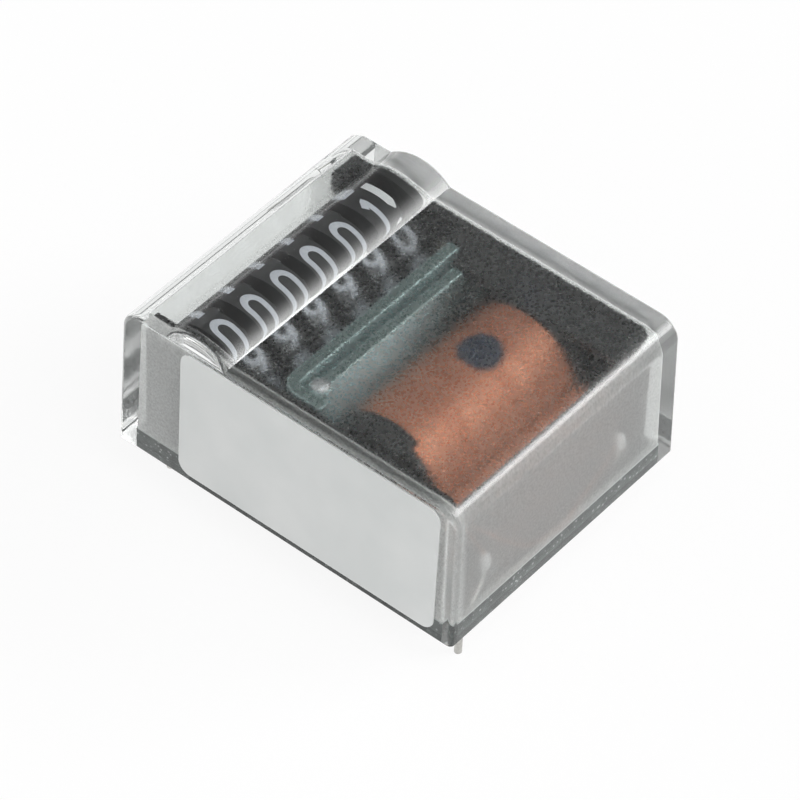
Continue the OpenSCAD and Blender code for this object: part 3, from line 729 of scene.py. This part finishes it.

# %% [markdown]
# ## Metals
#
# The yoke, the pole shoe and the armature are stamped from mild steel and plated with pale zinc, whose
# crystals give a soft blue-green grey. Their top edges were sheared and took the plating dully. The broad
# front of the armature is coloured pale as a painted glow, which turns to painted shade towards its free
# end. Pins are tinned, solder has set with a slightly dull skin, and axles are ground, with fine rings
# round them.
#
# Crystals and grinding marks are both noise, even or drawn out along one axis, so one function makes them
# all. Colour and roughness change together, because one flat grey would look like paint.

# %% Metal finishes
def metal(name, dark, bright, low, high, size, stretch=(1, 1, 1), depth=0.004, shine=1.0):
    """A metal whose colour and roughness vary with its crystals or its grinding marks."""
    finish = Finish(name)
    crystal = finish.grain(size, 4.0, stretch)
    share = finish.between(crystal, 0.0, 1.0)
    return finish.done(finish.surface(Base_Color=finish.blend(share, dark, bright), Metallic=shine,
                                      Roughness=finish.between(crystal, low, high),
                                      Normal=finish.relief(crystal, 0.3, depth)))


ZINC, GLOW_TO_SHADE_X = 0.2, (-1.0, 6.5)
finishes["zinc_plate"] = metal("zinc_plate", tone(172, 194, 194), tone(216, 236, 236), 0.34, 0.48, ZINC,
                               shine=0.5)
# Painted light on the armature's front: pale where light falls, a painted glow, and darker towards +X, a
# painted shade.
finish = Finish("front_painted_light")
crystal = finish.grain(ZINC, 3.0)
painted_shade_share = finish.spread(finish.axis(0), *GLOW_TO_SHADE_X, 0.0, 1.0)
surface_colour = finish.blend(painted_shade_share, tone(212, 243, 250), tone(110, 126, 126))
finishes["front_painted_light"] = finish.done(finish.surface(
    Base_Color=surface_colour, Metallic=0.1, Roughness=finish.between(crystal, 0.4, 0.55),
    Normal=finish.relief(crystal, 0.3, 0.004)))
finishes["sheared_edge"] = metal("sheared_edge", tone(110, 127, 125), tone(148, 166, 164), 0.4, 0.55, ZINC)
finishes["steel"] = metal("steel", tone(176, 178, 180), tone(205, 206, 208), 0.4, 0.55, 0.12, (6, 1, 1))
finishes["spring_steel"] = metal("spring_steel", tone(182, 184, 187), tone(212, 213, 216), 0.12, 0.22, 0.2)
finishes["tinned"] = metal("tinned", tone(176, 175, 171), tone(212, 211, 207), 0.36, 0.5, 0.3)
finishes["solder"] = metal("solder", tone(226, 228, 229), tone(246, 247, 248), 0.36, 0.5, 0.4,
                           depth=0.01, shine=0.35)
print("with the metals:", sorted(finishes))

# %% [markdown]
# ## The winding
#
# The coil is wound with enamelled copper wire about a seventh of a millimetre thick, turn beside turn.
# A sine along the coil's axis gives the turns as a relief and paints the grooves darker, a painted shade.
# A slow noise lets the colour of the enamel wander. A dot of blue-black ink marks the coil on top.

# %% Copper finish
WIRE = 0.14
DOT_X, DOT_Y, DOT_R = 1.8, -5.9, (1.55, 2.0)
COIL_TOP = 6.0
finish = Finish("enamelled_copper")
along, over, up = finish.axis(0), finish.axis(1), finish.axis(2)
turns = finish.put("Math", {"operation": "SINE"}, {0: along * (2 * math.pi / WIRE)})
drift = finish.between(finish.grain(1.6, 3.0, (1, 0.3, 0.3)), 0.0, 1.0)
copper = finish.blend(drift, tone(196, 128, 99), tone(214, 150, 121))
# Painted shade: the grooves between the turns are coloured darker.
groove_painted_shade = finish.spread(turns, -1.0, 0.2, 1.0, 0.0)
copper = finish.blend(groove_painted_shade * 0.18, copper, tone(130, 62, 40))
gap_x, gap_y = along - DOT_X, over - DOT_Y
distance = finish.put("Math", {"operation": "SQRT"}, {0: gap_x * gap_x + gap_y * gap_y})
edge = finish.grain(0.6, 3.0) * 0.8 - 0.4
dot = finish.spread(distance + edge, *DOT_R, 1.0, 0.0) * (up > COIL_TOP)
copper = finish.blend(dot, copper, tone(34, 44, 64))
finishes["enamelled_copper"] = finish.done(finish.surface(
    Base_Color=copper, Metallic=finish.spread(dot, 0.0, 1.0, 0.85, 0.0), Roughness=0.38,
    Normal=finish.relief(turns, 0.6, 0.03)))
print("copper done, a turn every", WIRE, "mm")

# %% [markdown]
# ## Stamping inks
#
# The figures and the index stroke are pigment from a hot foil: matt, finely flecked, the figures a cool
# grey and the stroke nearly white. Both are the same print in two tones, so one function makes them.

# %% Ink finishes
def ink(name, dark, bright):
    """A matt print with fine flecks."""
    finish = Finish(name)
    fleck = finish.grain(0.15, 3.0)
    body = finish.blend(finish.between(fleck, 0.0, 1.0), dark, bright)
    return finish.done(finish.surface(Base_Color=body, Roughness=0.5,
                                      Normal=finish.relief(fleck, 0.2, 0.005)))


finishes["stamped_ink"] = ink("stamped_ink", tone(202, 206, 216), tone(218, 221, 228))
finishes["stamped_white"] = ink("stamped_white", tone(236, 238, 240), tone(248, 249, 250))
print("finishes:", len(finishes))

# %% [markdown]
# ## Dressing the pieces
#
# The record names a finish for every solid, so a solid gets the one of that name. The two strips carry
# three finishes, told apart by where their faces point. The drawn cover is not shown, and gets the bright
# finish only so that it isn't left bare.

# %% Put each finish on its pieces
for part in frame["record"]["subparts"]:
    if part["node"] != "cover":
        data = nodes[part["node"]].data
        data.materials.clear()
        data.materials.append(finishes[part["material_slot"]])
nodes["cover"].data.materials.clear()
nodes["cover"].data.materials.append(clear_bright)
STRAIGHT = 0.97
for strip in strips:
    strip.data.materials.clear()
    for name in ("zinc_plate", "sheared_edge", "front_painted_light"):
        strip.data.materials.append(finishes[name])
    for face in strip.data.polygons:
        # The armature's front takes the painted glow and painted shade.
        front = strip.name == "tumbled_armature" and face.normal.y < -STRAIGHT
        face.material_index = 1 if face.normal.z > STRAIGHT else 2 if front else 0
for ring in printed:
    ring.data.materials.clear()
    ring.data.materials.append(finishes["stamped_ink"])
stroke.data.materials.clear()
stroke.data.materials.append(finishes["stamped_white"])
print("dressed", len(nodes), "solids and", len(printed) + len(strips) + 2, "new pieces")

# %% [markdown]
# ## Floor
#
# A wide pale floor lies under the tips of the pins. White paint alone would look grey, because the light is
# set for the object. So rays from the camera, and those mirrored or bent by the plastic, meet a white glow.
# A tenth of it stays paint, which takes a soft shadow.

# %% Floor
start_clean()
FLOOR_WIDE, GLOW = 6, 0.9
bpy.ops.mesh.primitive_plane_add(size=FLOOR_WIDE, location=(0, 0, drawn_box[0].z))
floor = added("floor")
finish = Finish("floor")
seen, shiny, through = finish.rays("Camera", "Glossy", "Transmission")
direct = finish.put("Math", {"operation": "MAXIMUM"}, {0: seen, 1: shiny})
direct = finish.put("Math", {"operation": "MAXIMUM"}, {0: direct, 1: through})
paint = finish.put("BsdfDiffuse", {}, {"Color": tone(246, 246, 246)})
glow = finish.put("Emission", {}, {"Color": (1, 1, 1, 1), "Strength": 1.0})
floor.data.materials.append(finish.done(finish.put("MixShader", {}, {0: direct * GLOW, 1: paint, 2: glow})))
print("floor at", round(1000 * drawn_box[0].z, 2), "mm")

# %% [markdown]
# ## The light of a small studio
#
# The photo was taken on white paper with the ceiling dark where the camera looks: black pieces stay black
# under the clear top. A broad soft lamp to the right draws the bright band along the bar, and a weaker
# one hangs higher up. Lamps could be objects, but what a clear block shows is mostly what stands round it.
# So the world is a function of direction: an even room, a dim patch where the flat top mirrors the camera's
# view, pale paper that is seen through the block's end, and the two lamps. The dim patch is half lifted for
# light that comes through the plastic, or the clear edges would turn too dark. The camera alone sees plain
# white. In the mirror of the clear surfaces the right lamp fades more slowly towards its top, which gives
# its band along the bar a soft edge.
#
# Each patch has an edge: the two levels between which it fades. A level is a height, or the share of a
# direction that points the patch's way.

# %% Light from a world that depends on direction
world = bpy.data.worlds.new("room_light")
bpy.context.scene.world = world
world.use_nodes = True
room_light = Network(world.node_tree)
toward = room_light.put("TexCoord", out="Generated")
height = room_light.put("SeparateXYZ", {}, {0: toward}, out=2)


def soft_step(value, low, high, start, stop):
    """A smooth change between two levels."""
    return room_light.put("MapRange", {"interpolation_type": "SMOOTHSTEP"},
                          {"Value": value, "From Min": low, "From Max": high,
                           "To Min": start, "To Max": stop})


def along_direction(x, y, z):
    """How far each direction points the way of another."""
    return room_light.put("VectorMath", {"operation": "DOT_PRODUCT"}, {0: toward, 1: (x, y, z)},
                          out="Value")


seen, through, shiny = room_light.rays("Camera", "Transmission", "Glossy")
mirrored = shiny * (1.0 - through)

ROOM, DIM, LIFTED, PAPER = 0.74, 0.62, 0.5, 0.26
CEILING, CEILING_EDGE = (0.547, 0.422, 0.723), (0.5, 0.88)
PAPER_WAY, PAPER_EDGE = (-0.9, 0.436, 0.0), (0.0, 0.5)
dark = soft_step(along_direction(*CEILING), *CEILING_EDGE, 0.0, 1.0)
paper = soft_step(along_direction(*PAPER_WAY), *PAPER_EDGE, 0.0, PAPER)
sky = ROOM - dark * (1.0 - through * LIFTED) * DIM + through * paper

SLANT = 0.707
SIDE_EDGE, FOOT_EDGE, TOP_EDGE, MIRRORED_TOP_EDGE = (0.15, 0.34), (0.28, 0.46), (0.5, 0.66), (0.46, 0.84)
LAMP_FOOT, LAMP, MIRRORED_PART = 1.5, 11.0, 0.8
side = along_direction(SLANT, SLANT, 0.0)
ahead = along_direction(SLANT, -SLANT, 0.0)
off_side = room_light.put("Math", {"operation": "ABSOLUTE"}, {0: side})
lamp_top = (soft_step(height, *TOP_EDGE, 1.0, 0.0) * (1.0 - mirrored)
            + soft_step(height, *MIRRORED_TOP_EDGE, MIRRORED_PART, 0.0) * mirrored)
right_lamp = soft_step(off_side, *SIDE_EDGE, 1.0, 0.0) * lamp_top * (ahead > 0.0)
right_lamp = right_lamp * soft_step(height, *FOOT_EDGE, LAMP_FOOT, LAMP)

HIGH_LAMP, HIGH_LAMP_WAY, HIGH_LAMP_EDGE = 3.0, (-0.25, -0.5, 0.829), (0.9, 0.98)
high_lamp = soft_step(along_direction(*HIGH_LAMP_WAY), *HIGH_LAMP_EDGE, 0.0, HIGH_LAMP)
shaded = room_light.put("Background", {}, {"Color": (1, 1, 1, 1), "Strength": sky + right_lamp + high_lamp})
white = room_light.put("Background", {}, {"Color": (1, 1, 1, 1), "Strength": 1.0})
light = room_light.put("MixShader", {}, {0: seen, 1: shaded, 2: white})
room_light.put("OutputWorld", {}, {"Surface": light})
print("world nodes:", len(room_light.tree.nodes))

# %% [markdown]
# ## Camera
#
# The photo's perspective is weak, so the camera is a long lens about forty centimetres away. Its place
# and the three directions of its view come from fitting the cover's eight corners. Light in the clear
# walls runs on through many inner reflections before it leaves at an edge, so the paths are allowed more
# bounces than usual, or the edges would turn black.

# %% Camera and length of light paths
start_clean()
bpy.ops.object.camera_add()
camera = bpy.context.object
camera.name = "camera"
RIGHT = Vector((0.63749978, -0.76975527, 0.0327238))
DOWN = Vector((-0.54272923, -0.47881594, -0.69005817))
AHEAD = Vector((0.54684459, 0.42215178, -0.72301374))
PLACE = Vector((-0.210515, -0.162704, 0.283027))
turn = Matrix((RIGHT, -DOWN, -AHEAD)).transposed().to_4x4()
camera.matrix_world = Matrix.Translation(PLACE) @ turn
LENS, SENSOR, CLIP, BOUNCES = 234.315, 36.0, (0.01, 20.0), 20
camera.data.lens, camera.data.sensor_width = LENS, SENSOR
camera.data.clip_start, camera.data.clip_end = CLIP
scene = bpy.context.scene
scene.camera = camera
scene.view_settings.view_transform = "Standard"
scene.cycles.max_bounces = scene.cycles.glossy_bounces = scene.cycles.transmission_bounces = BOUNCES
start_clean()
print("camera with a lens of", LENS, "mm,", round(PLACE.length, 3), "m from the middle of the rim")

# %% [markdown]
# ## The drawn box
# #. The dressed object has to stay inside the drawn one.
# # The box of the drawn solids is printed once more.

# %% Box of the drawn solids
print("drawn", [round(1000 * c, 3) for corner in drawn_box for c in corner])
